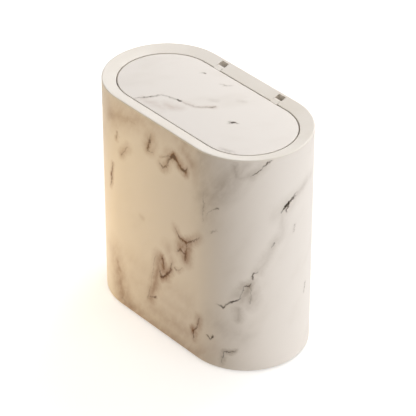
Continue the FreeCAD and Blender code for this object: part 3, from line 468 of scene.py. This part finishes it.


# Veins of the wall, and some wide washes of painted shade: half the width of the line, the reach
# of the smoke beside it, then points along the film and up it, each with a weight. All lengths are
# millimetres
NO_LINE = 0.01
HAIR = 0.9
FINE = 1.4
BOLD = 2.2
WISP = 3.0
THIN_SMOKE = 6.0
SMOKE = 11.0
WIDE_SMOKE = 17.0
WASH = 28.0
WALL_VEINS_AND_PAINTED_SHADE = {
    "Brown": [
        # front, under the rim
        (BOLD, SMOKE, [(-8, 271, 0.25), (-10, 261, 0.85), (-12, 252, 0.75),
                       (-14, 246, 0.5), (-5, 247, 0.3)]),
        (NO_LINE, WIDE_SMOKE, [(-7, 270, 0.45), (-11, 254, 0.7)]),
        (FINE, THIN_SMOKE, [(-9, 262, 0.8), (-11, 257, 1.1)]),
        (BOLD, SMOKE, [(7, 240, 0.3), (13, 237, 0.6), (20, 244, 0.6), (23, 252, 0.75), (32, 261, 1.2)]),
        (BOLD, SMOKE, [(32, 261, 1.2), (39, 255, 0.8), (44, 250, 0.9), (51, 249, 1.0), (55, 256, 0.5)]),
        (FINE, THIN_SMOKE, [(6, 248, 0.25), (29, 258, 0.5)]),
        (NO_LINE, WIDE_SMOKE, [(24, 257, 0.4), (32, 259, 0.68), (44, 256, 0.5)]),
        (FINE, THIN_SMOKE, [(27, 256, 1.2), (32, 260, 3.6), (37, 257, 1.4)]),
        (NO_LINE, WIDE_SMOKE, [(47, 277, 0.4), (62, 266, 0.45), (66, 248, 0.15)]),
        # This wide wash along the top of the front is painted shade under the rim
        (NO_LINE, WASH, [(-80, 262, 0.4), (-40, 276, 0.38), (-8, 285, 0.2), (24, 287, 0.1),
                         (50, 286, 0.3)]),
        (NO_LINE, SMOKE, [(-60, 263, 0.3), (-48, 271, 0.45), (-36, 271, 0.35)]),
        (FINE, THIN_SMOKE, [(-69, 244, 0.4), (-70, 235, 0.45)]),
        (FINE, SMOKE, [(-62, 218, 0.5), (-50, 233, 0.35)]),
        (FINE, THIN_SMOKE, [(-80, 196, 0.4), (-82, 178, 0.95), (-85, 162, 0.3)]),
        # front, middle
        (NO_LINE, THIN_SMOKE, [(-29, 149, 0.15), (-25, 149, 0.15)]),
        (BOLD, SMOKE, [(34, 165, 0.3), (40, 156, 0.65), (47, 154, 0.8), (52, 154, 0.85),
                       (61, 160, 0.8), (75, 173, 0.3)]),
        (BOLD, SMOKE, [(36, 134, 0.3), (43, 140, 0.85), (48, 137, 0.6), (52, 138, 0.85),
                       (50, 129, 0.65)]),
        (FINE, SMOKE, [(52, 154, 0.5), (54, 147, 0.5), (52, 138, 0.8)]),
        (NO_LINE, WIDE_SMOKE, [(43, 142, 0.75), (54, 147, 0.85), (51, 132, 0.75)]),
        (BOLD, SMOKE, [(9, 111, 0.95), (12, 103, 0.65), (12, 96, 0.45)]),
        (BOLD, SMOKE, [(5, 92, 0.5), (8, 82, 0.95), (18, 92, 0.95), (25, 103, 0.65), (27, 115, 0.3)]),
        (NO_LINE, WIDE_SMOKE, [(10, 104, 0.7), (14, 90, 0.75)]),
        (NO_LINE, WIDE_SMOKE, [(5, 107, 0.6), (-1, 82, 0.6), (-9, 52, 0.6), (-13, 40, 0.5)]),
        (FINE, THIN_SMOKE, [(-3, 107, 0.3), (-9, 78, 0.2), (-18, 38, 0.4)]),
        (FINE, THIN_SMOKE, [(-16, 43, 0.4), (-3, 49, 0.8)]),
        (FINE, THIN_SMOKE, [(32, 109, 0.45), (38, 108, 0.35), (45, 116, 0.25)]),
        (NO_LINE, WIDE_SMOKE, [(20, 131, 0.2), (25, 119, 0.22)]),
        # front, foot
        (NO_LINE, SMOKE, [(-74, 62, 0.5), (-71, 50, 0.6)]),
        # These wide washes across the foot of the front are painted warm shade, darker towards the
        # bottom
        (NO_LINE, WASH, [(-80, 75, 0.25), (-72, 40, 0.5), (-62, 10, 0.6), (-20, 2, 0.45), (40, 2, 0.5),
                         (66, 6, 0.35), (90, 26, 0.15)]),
        (NO_LINE, WASH, [(-15, 28, 0.25), (62, 28, 0.3)]),
        (NO_LINE, WASH, [(-48, 78, 0.12), (50, 74, 0.12)]),
        (NO_LINE, WASH, [(-44, 52, 0.14), (50, 52, 0.14)]),
        (FINE, THIN_SMOKE, [(-67, 12, 0.4), (-62, 12, 0.5)]),
        (FINE, SMOKE, [(74, 62, 0.4), (71, 47, 0.6), (65, 38, 1.0), (65, 26, 0.5)]),
    ],
    "Grey": [
        # right end, under the rim
        (HAIR, WISP, [(161, 289, 0.5), (155, 284, 0.9), (151, 280, 0.5), (144, 273, 0.9),
                      (138, 270, 0.35)]),
        (NO_LINE, SMOKE, [(150, 280, 0.3), (138, 270, 0.4), (117, 264, 0.3)]),
        (NO_LINE, SMOKE, [(121, 282, 0.5), (121, 269, 0.5)]),
        (NO_LINE, SMOKE, [(132, 284, 0.3), (126, 274, 0.3)]),
        (NO_LINE, WASH, [(82, 230, 0.36), (96, 240, 0.45), (106, 252, 0.46), (118, 268, 0.35)]),
        # This wash down the turn from the front into the right end is painted shade
        (NO_LINE, WASH, [(77, 287, 0.35), (80, 250, 0.25), (84, 210, 0.25), (78, 178, 0.06)]),
        (HAIR, SMOKE, [(83, 240, 0.2), (82, 224, 0.4), (80, 200, 0.25)]),
        (HAIR, WISP, [(86, 209, 0.2), (93, 218, 0.3), (100, 223, 0.6)]),
        (HAIR, WISP, [(92, 188, 0.5), (98, 193, 0.25)]),
        (FINE, WISP, [(194, 230, 0.5), (188, 227, 1.0), (182, 224, 1.6), (178, 220, 1.0),
                      (173, 215, 0.35)]),
        (HAIR, WISP, [(184, 224, 1.4), (180, 215, 0.8)]),
        (HAIR, WISP, [(186, 227, 1.0), (196, 234, 0.35)]),
        (NO_LINE, WIDE_SMOKE, [(198, 232, 0.15), (183, 223, 0.3), (170, 212, 0.2)]),
        (NO_LINE, SMOKE, [(194, 230, 0.35), (210, 238, 0.25), (226, 242, 0.15)]),
        (NO_LINE, SMOKE, [(173, 215, 0.25), (176, 190, 0.15), (166, 176, 0.35), (152, 156, 0.2)]),
        (HAIR, WISP, [(163, 173, 0.5), (168, 178, 0.45)]),
        (HAIR, WISP, [(192, 184, 0.25), (194, 192, 0.25)]),
        # right end, middle and foot
        (FINE, WISP, [(99, 92, 0.3), (104, 92, 0.5), (107, 89, 0.85), (111, 94, 0.6), (117, 98, 0.7)]),
        (FINE, WISP, [(117, 98, 0.7), (121, 101, 1.3), (126, 106, 0.45)]),
        (HAIR, SMOKE, [(126, 106, 0.5), (129, 113, 0.4), (131, 122, 0.7), (138, 123, 0.9),
                       (140, 127, 0.5)]),
        (FINE, WISP, [(141, 131, 0.65), (142, 139, 0.75), (147, 142, 0.4)]),
        (NO_LINE, WIDE_SMOKE, [(128, 106, 0.5), (136, 118, 0.6), (138, 100, 0.45)]),
        (HAIR, WISP, [(140, 121, 0.35), (138, 98, 0.4)]),
        (NO_LINE, SMOKE, [(147, 142, 0.3), (158, 160, 0.2), (166, 176, 0.35)]),
        (NO_LINE, SMOKE, [(125, 89, 0.45), (125, 76, 0.45)]),
        (FINE, WISP, [(87, 43, 0.75), (90, 40, 0.8), (95, 46, 1.0)]),
        (HAIR, THIN_SMOKE, [(105, 11, 0.4), (109, 27, 0.6), (115, 28, 0.9), (122, 31, 0.5)]),
        (HAIR, WISP, [(217, 99, 0.45), (215, 87, 0.35)]),
        (NO_LINE, WASH, [(90, 68, 0.16), (108, 60, 0.22), (128, 54, 0.2)]),
        # back, in the same manner as the sides that show in the photo
        (HAIR, WISP, [(352, 262, 0.4), (338, 248, 0.9), (331, 244, 0.6), (318, 224, 0.8),
                      (309, 219, 0.3)]),
        (FINE, WISP, [(338, 248, 0.9), (330, 250, 0.5), (322, 246, 0.25)]),
        (NO_LINE, WIDE_SMOKE, [(350, 266, 0.35), (331, 246, 0.5), (306, 214, 0.3)]),
        (FINE, SMOKE, [(296, 148, 0.3), (289, 139, 0.9), (281, 136, 0.7), (270, 119, 0.95),
                       (263, 116, 0.4)]),
        (HAIR, WISP, [(281, 136, 0.7), (284, 126, 0.5), (279, 117, 0.3)]),
        (NO_LINE, WIDE_SMOKE, [(299, 154, 0.3), (283, 136, 0.55), (262, 110, 0.35)]),
        (HAIR, WISP, [(344, 96, 0.4), (335, 84, 0.9), (327, 82, 0.6), (316, 64, 0.4)]),
        (NO_LINE, WASH, [(352, 108, 0.25), (330, 80, 0.4), (304, 44, 0.25)]),
        (HAIR, WISP, [(292, 42, 0.6), (287, 34, 0.9), (280, 33, 0.3)]),
        (HAIR, WISP, [(-318, 196, 0.4), (-326, 186, 0.9), (-334, 183, 0.6), (-345, 166, 0.5)]),
        (NO_LINE, WIDE_SMOKE, [(-312, 204, 0.3), (-332, 182, 0.45), (-352, 152, 0.3)]),
        (FINE, SMOKE, [(-300, 92, 0.3), (-308, 82, 0.8), (-317, 80, 0.6), (-326, 66, 0.9),
                       (-334, 63, 0.3)]),
        (HAIR, WISP, [(-317, 80, 0.6), (-315, 70, 0.6), (-319, 61, 0.3)]),
        (NO_LINE, WASH, [(-290, 104, 0.25), (-316, 76, 0.4), (-340, 44, 0.25)]),
        (NO_LINE, WASH, [(262, 110, 0.25), (296, 166, 0.15), (330, 236, 0.25)]),
        (HAIR, THIN_SMOKE, [(300, 176, 0.3), (308, 190, 0.45), (314, 204, 0.2)]),
        (NO_LINE, WASH, [(-352, 152, 0.2), (-362, 124, 0.15), (-334, 60, 0.2)]),
        # left end
        (FINE, SMOKE, [(-132, 262, 0.3), (-141, 252, 0.9), (-149, 249, 0.7), (-160, 233, 1.0),
                       (-168, 229, 0.4)]),
        (HAIR, WISP, [(-149, 249, 0.7), (-147, 240, 0.6), (-151, 231, 0.3)]),
        (NO_LINE, WASH, [(-122, 272, 0.3), (-148, 244, 0.5), (-178, 208, 0.25)]),
        (HAIR, WISP, [(-214, 214, 0.4), (-222, 203, 1.0), (-229, 200, 0.6), (-238, 187, 0.3)]),
        (FINE, SMOKE, [(-168, 134, 0.4), (-177, 124, 0.9), (-186, 121, 0.7), (-197, 105, 1.0),
                       (-204, 102, 0.4)]),
        (HAIR, WISP, [(-186, 121, 0.7), (-183, 112, 0.6), (-188, 103, 0.3)]),
        (NO_LINE, WASH, [(-160, 146, 0.3), (-186, 118, 0.5), (-214, 82, 0.25)]),
        (HAIR, WISP, [(-124, 74, 0.5), (-130, 65, 0.9), (-138, 63, 0.4)]),
        (NO_LINE, WASH, [(-266, 33, 0.2), (-240, 84, 0.15), (-204, 102, 0.25)]),
        (NO_LINE, WASH, [(-214, 214, 0.2), (-246, 160, 0.15), (-290, 104, 0.2)]),
        (NO_LINE, WASH, [(-160, 146, 0.25), (-142, 186, 0.15), (-112, 232, 0.2)]),
        (HAIR, WISP, [(-243, 58, 0.4), (-250, 48, 0.9), (-258, 46, 0.6), (-266, 33, 0.3)]),
    ],
}


def wrapped(tree, position):
    """Where on the wall's film a point of the body lies."""
    return place_group(tree, film_wrap, {"Position": position})["Film"]


body_film = marble_film("marble_body_film", WALL_VEINS_AND_PAINTED_SHADE, wrapped)

# Moulded plastic: the bare moulding inside the body and under it
SATIN_GRAIN = 1400.0
SATIN_EDGE = 0.35 * MM
WORN_AND_HIGHLIT_PLASTIC = paint(250, 248, 244)
PLASTIC_WEAR_AND_HIGHLIGHT = 0.3
PLASTIC_SHADE_RANGE = (0.35, 0.75)
PLASTIC_MOTTLE = 0.14
PLASTIC_EDGE_GLOSS = 0.08
PLASTIC_RELIEF = 0.08
PLASTIC_RELIEF_DEPTH = 0.2 * MM


def moulded_plastic(name, colour, shade, roughness, grain=SATIN_GRAIN, edge_radius=SATIN_EDGE):
    """Satin moulded plastic with paler, smoother edges and a fine mould skin. The paler edges are
    partly wear and partly a painted highlight.
    """
    material, tree, shader, position = new_material(name)
    edge = place_group(tree, edge_rounding, {"Radius": edge_radius})
    skin = place_group(tree, mould_skin, {"Position": position, "Grain": grain})
    tone = mixed(tree, ramp(tree, skin["Mottle"], *PLASTIC_SHADE_RANGE), colour, shade)
    # Edges paled, partly as wear and partly as a painted highlight
    tone = worn_and_highlit(tree, edge["Edge"], PLASTIC_WEAR_AND_HIGHLIGHT, tone, WORN_AND_HIGHLIT_PLASTIC)
    dullness = work_out(tree, "MULTIPLY_ADD", skin["Mottle"], PLASTIC_MOTTLE, roughness)
    dullness = work_out(tree, "MULTIPLY_ADD", edge["Edge"], -PLASTIC_EDGE_GLOSS, dullness)
    normal = relief(tree, skin["Height"], PLASTIC_RELIEF, PLASTIC_RELIEF_DEPTH, edge["Normal"])
    connect(tree, shader, Base_Color=tone, Roughness=dullness, Normal=normal)
    return material


def make_piece(name, mesh, materials):
    """Turn a drawn mesh into a smooth-shaded piece that stays crisp at its sharper edges."""
    bmesh.ops.recalc_face_normals(mesh, faces=mesh.faces)
    for face in mesh.faces:
        face.smooth = True
    for edge in mesh.edges:
        edge.smooth = len(edge.link_faces) == 2 and edge.calc_face_angle() < CRISP_ANGLE
    data = bpy.data.meshes.new(name)
    mesh.to_mesh(data)
    mesh.free()
    piece = bpy.data.objects.new(name, data)
    bpy.context.scene.collection.objects.link(piece)
    for material in materials:
        data.materials.append(material)
    return piece


MOULDING_WHITE = paint(236, 231, 223)
MOULDING_SHADE = paint(229, 223, 214)
body_moulding = moulded_plastic("white_moulding", MOULDING_WHITE, MOULDING_SHADE, roughness=0.42)
body = make_piece("body_tub", tub, [body_film, body_moulding])
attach(body, "base")
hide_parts("body_shell")

# Rubber feet: four soft black pads, each moulded with a rounded edge and two grip rings, and glued
# into the recesses under the floor.
FOOT_EDGE_ROUNDING = 0.5 * MM
GROOVE_RADIUS = 0.35 * MM
GROOVE_REACHES = (3 * MM, 5.4 * MM)
RUBBER_BLACK = paint(44, 43, 42)
RUBBER_BLOOM = paint(62, 60, 57)
RUBBER_BLOOM_RANGE = (0.3, 0.8)
RUBBER_SCUFF_AND_HIGHLIGHT = paint(96, 93, 88)
RUBBER_WEAR_AND_HIGHLIGHT = 0.35
RUBBER_GRAIN = 2500.0
RUBBER_EDGE = 0.3 * MM
RUBBER_ROUGHNESS = 0.7
RUBBER_MOTTLE = 0.2
RUBBER_RELIEF = 0.25
RUBBER_RELIEF_DEPTH = 0.1 * MM
foot_rubber, tree, shader, position = new_material("foot_rubber")
skin = place_group(tree, mould_skin, {"Position": position, "Grain": RUBBER_GRAIN})
edge = place_group(tree, edge_rounding, {"Radius": RUBBER_EDGE})
tone = mixed(tree, ramp(tree, skin["Mottle"], *RUBBER_BLOOM_RANGE), RUBBER_BLACK, RUBBER_BLOOM)
# The pads' edges are paled, partly as scuffing and partly as a painted highlight
tone = worn_and_highlit(tree, edge["Edge"], RUBBER_WEAR_AND_HIGHLIGHT, tone, RUBBER_SCUFF_AND_HIGHLIGHT)
roughness = work_out(tree, "MULTIPLY_ADD", skin["Mottle"], RUBBER_MOTTLE, RUBBER_ROUGHNESS)
normal = relief(tree, skin["Height"], RUBBER_RELIEF, RUBBER_RELIEF_DEPTH)
connect(tree, shader, Base_Color=tone, Roughness=roughness, Normal=normal)
for number, node in enumerate(FOOT_NODES, start=1):
    foot_low, foot_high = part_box(node)
    middle = (foot_low + foot_high) / 2
    radius = (foot_high.x - foot_low.x) / 2
    section = []
    for groove_reach in GROOVE_REACHES:
        section += arc(groove_reach, foot_low.z, GROOVE_RADIUS, 180, 0)
    edge_level = foot_low.z + FOOT_EDGE_ROUNDING
    section += arc(radius - FOOT_EDGE_ROUNDING, edge_level, FOOT_EDGE_ROUNDING, -90, 0)
    section.append((radius, foot_high.z))
    pad = bmesh.new()
    rings = [draw_ring(pad, disc(middle, reach), level) for reach, level in section]
    join_rings(pad, rings)
    pad.faces.new(rings[0])
    pad.faces.new(rings[-1])
    foot = make_piece(f"foot_pad_rubber_{number}", pad, [foot_rubber])
    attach(foot, "base")
    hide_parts(node)

# Rim collar: a ring moulded in cream plastic that drops into the body's mouth. Its deck dishes
# down to the lid, and it carries the hinge pockets at the back and the latch at the front.
CREAM = paint(240, 233, 224)
CREAM_SHADE = paint(235, 227, 216)
cream_plastic = moulded_plastic("cream_plastic", CREAM, CREAM_SHADE, roughness=0.4)


def finish_node(name, material):
    """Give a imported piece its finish."""
    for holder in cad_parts[name].material_slots:
        holder.material = material


finish_node("rim_collar", cream_plastic)

# Hinges: a plated steel pin and a wound spring on each side, closed in from below by a small
# moulded cover held by two screws. Each spring twists between its leg on the cover and its leg
# under the lid.
METAL_EDGE = 0.15 * MM
WORN_AND_HIGHLIT_METAL = paint(236, 236, 234)
METAL_WEAR_AND_HIGHLIGHT = 0.4
STAIN_FEATURES = 380.0
STAIN_RANGE = (0.4, 0.75)
STAIN_DULLING = 0.25
DRAW_LINE_FEATURES = 1800.0
DRAW_LINE_STRETCH = (1.0, 6.0, 6.0)
DRAW_LINE_RELIEF = 0.12
DRAW_LINE_DEPTH = 0.05 * MM
ZINC = paint(205, 205, 203)
DULL_ZINC = paint(172, 172, 170)
SPRING_STEEL = paint(150, 150, 152)
DULL_SPRING_STEEL = paint(112, 112, 114)


def bare_metal(name, colour, stain, roughness):
    """Drawn or plated steel with faint draw lines, dull patches, and edges paled partly as wear and
    partly as a painted highlight.
    """
    material, tree, shader, position = new_material(name)
    edge = place_group(tree, edge_rounding, {"Radius": METAL_EDGE})
    dull = noise(tree, position, STAIN_FEATURES, detail=4.0)
    drawn = work_out_vector(tree, "MULTIPLY", position, DRAW_LINE_STRETCH)
    lines = noise(tree, drawn, DRAW_LINE_FEATURES, detail=2.0)
    tone = mixed(tree, ramp(tree, dull, *STAIN_RANGE), colour, stain)
    # Edges paled, partly as wear and partly as a painted highlight
    tone = worn_and_highlit(tree, edge["Edge"], METAL_WEAR_AND_HIGHLIGHT, tone, WORN_AND_HIGHLIT_METAL)
    dullness = work_out(tree, "MULTIPLY_ADD", dull, STAIN_DULLING, roughness)
    normal = relief(tree, lines, DRAW_LINE_RELIEF, DRAW_LINE_DEPTH, edge["Normal"])
    shader.inputs["Metallic"].default_value = 1.0
    connect(tree, shader, Base_Color=tone, Roughness=dullness, Normal=normal)
    return material


def flexing_wire(name, node):
    """A copy of a packed wire in spring steel, shown in place of its imported piece."""
    wire = bpy.data.objects.new(name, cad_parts[node].data.copy())
    bpy.context.scene.collection.objects.link(wire)
    wire.data.materials.clear()
    wire.data.materials.append(spring_wire)
    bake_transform(wire)
    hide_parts(node)


bright_zinc = bare_metal("bright_zinc", ZINC, DULL_ZINC, roughness=0.22)
spring_wire = bare_metal("spring_wire", SPRING_STEEL, DULL_SPRING_STEEL, roughness=0.2)
for side in ("left", "right"):
    finish_node(f"hinge_pin_{side}", bright_zinc)
    finish_node(f"hinge_cover_{side}", cream_plastic)
    flexing_wire(f"hinge_coil_{side}", f"hinge_spring_{side}")
finish_node("hinge_cover_screws", bright_zinc)

# Latch: a press-to-open catch screwed to the rim's front tongue. Housing and plunger are moulded in
# unpainted white plastic. The wound spring and the bent cam wire between them draw out as the
# plunger rises.
LATCH_WHITE = paint(222, 221, 216)
LATCH_SHADE = paint(212, 211, 205)
LATCH_GRAIN = 2200.0
LATCH_EDGE = 0.25 * MM
latch_plastic = moulded_plastic(
    "natural_plastic", LATCH_WHITE, LATCH_SHADE, roughness=0.38, grain=LATCH_GRAIN,
    edge_radius=LATCH_EDGE)
finish_node("latch_housing", latch_plastic)
finish_node("latch_plunger", latch_plastic)
flexing_wire("latch_coil", "latch_spring")
flexing_wire("latch_cam_follower", "latch_cam_wire")
finish_node("latch_screws", bright_zinc)

# Lid frame: a shallow cream tray, open below, with cross ribs and the two hinge arms. The striker
# that the latch holds is screwed under its front edge.
finish_node("lid_frame", cream_plastic)
finish_node("lid_striker", latch_plastic)
finish_node("striker_screws", bright_zinc)

# Lid panel: a flat obround plate with a rounded edge, faced with the same marble film as the body
# and bonded to the top of the lid frame.
PANEL_EDGE_ROUNDING = 0.8 * MM
PANEL_UNDER_ROUNDING = 0.2 * MM
LID_VEINS = {
    "Brown": [
        (NO_LINE, SMOKE, [(-28, -37, 0.2), (-18, -36, 0.25), (-11, -30, 0.15)]),
        (NO_LINE, SMOKE, [(-52, -49, 0.15), (-39, -47, 0.2), (-21, -46, 0.1)]),
        (NO_LINE, THIN_SMOKE, [(-18, -18, 0.2), (-1, -14, 0.15), (13, 0, 0.25)]),
    ],
    "Grey": [
        (HAIR, WISP, [(-60, -55, 0.25), (-55, -46, 0.55), (-52, -40, 0.85),
                      (-49, -35, 0.6), (-47, -28, 0.35)]),
        (HAIR, WISP, [(-47, -28, 0.35), (-37, -24, 0.5), (-28, -22, 0.4)]),
        (HAIR, WISP, [(-28, -22, 0.4), (-23, -20, 2.2), (-18, -18, 0.35)]),
        (HAIR, WISP, [(-18, -18, 0.3), (-11, -18, 0.3), (-1, -14, 0.25), (8, -8, 0.3), (13, 0, 0.5)]),
        (HAIR, WISP, [(-54, 38, 0.25), (-51, 41, 0.9)]),
        (HAIR, WISP, [(-21, 39, 0.2), (-15, 40, 0.35), (-10, 45, 0.2)]),
        (HAIR, WISP, [(48, -8, 0.2), (53, -4, 1.7), (57, -2, 0.3)]),
        (HAIR, WISP, [(53, -4, 0.9), (50, -11, 0.25)]),
        (HAIR, THIN_SMOKE, [(84, -51, 0.25), (92, -49, 0.35), (100, -46, 0.15)]),
        (NO_LINE, THIN_SMOKE, [(-2, 7, 0.2), (5, 11, 0.25)]),
        (NO_LINE, THIN_SMOKE, [(21, 30, 0.15), (26, 33, 0.2)]),
    ],
}


def laid_flat(tree, position):
    """Where on the lid's film a point of the panel lies, in millimetres from the middle."""
    return scaled(tree, position, 1 / MM)


lid_film = marble_film("marble_lid_film", LID_VEINS, laid_flat)
panel_low, panel_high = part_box("lid_panel")
under_reach = panel_high.y - PANEL_UNDER_ROUNDING
under_level = panel_low.z + PANEL_UNDER_ROUNDING
edge_reach = panel_high.y - PANEL_EDGE_ROUNDING
edge_level = panel_high.z - PANEL_EDGE_ROUNDING
section = arc(under_reach, under_level, PANEL_UNDER_ROUNDING, -90, 0)
section += arc(edge_reach, edge_level, PANEL_EDGE_ROUNDING, 0, 90)
plate = bmesh.new()
rings = [draw_ring(plate, obround(reach), level) for reach, level in section]
join_rings(plate, rings)
plate.faces.new(rings[0])
plate.faces.new(rings[-1])
panel = make_piece("lid_plate", plate, [lid_film])
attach(panel, "lid")
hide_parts("lid_panel")

# Studio: a plain pale floor, soft lamps round the bin, and a long-lens camera at the photo's angle.
# Floor and air look brighter to the camera than the light that they give, so that the ground is
# near white while the bin keeps its shading.
FLOOR_SIZE = 8.0
FLOOR_PAPER = paint(232, 230, 227)
NEAR_GLOW = paint(196, 196, 196)
WHITE = paint(255, 255, 255)
GLOW_REACHES = (0.3, 1.2)
AMBIENT = 0.075


def seen(tree):
    """1 for rays that show a surface, straight or in a gloss, and 0 for rays that light other ones."""
    ray = add_node(tree, "LightPath").outputs
    indirectly = work_out(tree, "MAXIMUM", ray["Is Glossy Ray"], ray["Is Transmission Ray"])
    return work_out(tree, "MAXIMUM", ray["Is Camera Ray"], indirectly)


floor_material = bpy.data.materials.new("studio_floor")
floor_material.use_nodes = True
tree = floor_material.node_tree
tree.nodes.clear()
paper = add_node(tree, "BsdfDiffuse", {"Color": FLOOR_PAPER}).outputs["BSDF"]
distance = work_out_vector(tree, "LENGTH", add_node(tree, "TexCoord").outputs["Object"])
sweep = mixed(tree, ramp(tree, distance, *GLOW_REACHES), NEAR_GLOW, WHITE)
glow = add_node(tree, "Emission", {"Color": sweep}).outputs["Emission"]
lit = add_node(tree, "AddShader", {0: paper, 1: glow}).outputs["Shader"]
shown = add_node(tree, "MixShader", {0: seen(tree), 1: paper, 2: lit}).outputs["Shader"]
add_node(tree, "OutputMaterial", {"Surface": shown})
sheet = bmesh.new()
bmesh.ops.create_grid(sheet, x_segments=1, y_segments=1, size=FLOOR_SIZE / 2)
floor = make_piece("studio_floor", sheet, [floor_material])

world = bpy.data.worlds.new("studio_air")
bpy.context.scene.world = world
world.use_nodes = True
tree = world.node_tree
tree.nodes.clear()
dim = add_node(tree, "Background", {"Color": WHITE, "Strength": AMBIENT}).outputs["Background"]
bright = add_node(tree, "Background", {"Color": WHITE}).outputs["Background"]
shown = add_node(tree, "MixShader", {0: seen(tree), 1: dim, 2: bright}).outputs["Shader"]
add_node(tree, "OutputWorld", {"Surface": shown})

AIM = Vector((0, 0, (cad_low.z + cad_high.z) / 2))
WHITE_LIGHT = (1.0, 1.0, 1.0)
SOFT_WARM_LIGHT = (1.0, 0.76, 0.44)
WARM_LIGHT = (1.0, 0.72, 0.34)


def softbox(name, place, size, watts, colour):
    """A soft rectangular lamp that faces the bin."""
    lamp = bpy.data.lights.new(name, "AREA")
    lamp.shape = "RECTANGLE"
    lamp.size, lamp.size_y = size
    lamp.energy = watts
    lamp.color = colour
    stand = bpy.data.objects.new(name, lamp)
    stand.location = place
    stand.rotation_euler = (AIM - Vector(place)).to_track_quat("-Z", "Y").to_euler()
    stand.visible_camera = False
    bpy.context.scene.collection.objects.link(stand)


softbox("top_softbox", place=(0.2, 0.1, 1.7), size=(1.3, 1.3), watts=13, colour=WHITE_LIGHT)
softbox("back_softbox", place=(-0.2, 1.0, 1.4), size=(0.9, 0.9), watts=10.9, colour=WHITE_LIGHT)
softbox("right_softbox", place=(1.2, 0.3, 0.2), size=(0.7, 0.36), watts=6.0, colour=WHITE_LIGHT)
softbox("front_lamp", place=(0.1, -1.3, 0.35), size=(0.7, 0.6), watts=1.8, colour=SOFT_WARM_LIGHT)
softbox("left_lamp", place=(-0.26, -0.28, 0.11), size=(0.16, 0.16), watts=0.43, colour=WARM_LIGHT)

VIEW_TURN = math.radians(49.49)
VIEW_RISE = math.radians(33.73)
VIEW_DISTANCE = 2.824
IMAGE_SIDE = 416
FOCAL_PIXELS = 2433.6
PIXELS_RIGHT = 1.42
PIXELS_DOWN = 1.59
SENSOR_WIDTH = 36
level_turn = Vector((math.sin(VIEW_TURN), -math.cos(VIEW_TURN), 0))
backward = level_turn * math.cos(VIEW_RISE) + Vector((0, 0, math.sin(VIEW_RISE)))
rightward = Vector((math.cos(VIEW_TURN), math.sin(VIEW_TURN), 0))
upward = backward.cross(rightward)
pixel = VIEW_DISTANCE / FOCAL_PIXELS
look_at = AIM + (rightward * PIXELS_RIGHT - upward * PIXELS_DOWN) * pixel
lens = bpy.data.cameras.new("photo_camera")
lens.sensor_width = SENSOR_WIDTH
lens.lens = FOCAL_PIXELS * SENSOR_WIDTH / IMAGE_SIDE
camera = bpy.data.objects.new("photo_camera", lens)
camera.location = look_at + backward * VIEW_DISTANCE
camera.rotation_euler = (-backward).to_track_quat("-Z", "Y").to_euler()
bpy.context.scene.collection.objects.link(camera)
bpy.context.scene.camera = camera
bpy.context.scene.view_settings.view_transform = "Standard"

bpy.context.view_layer.update()
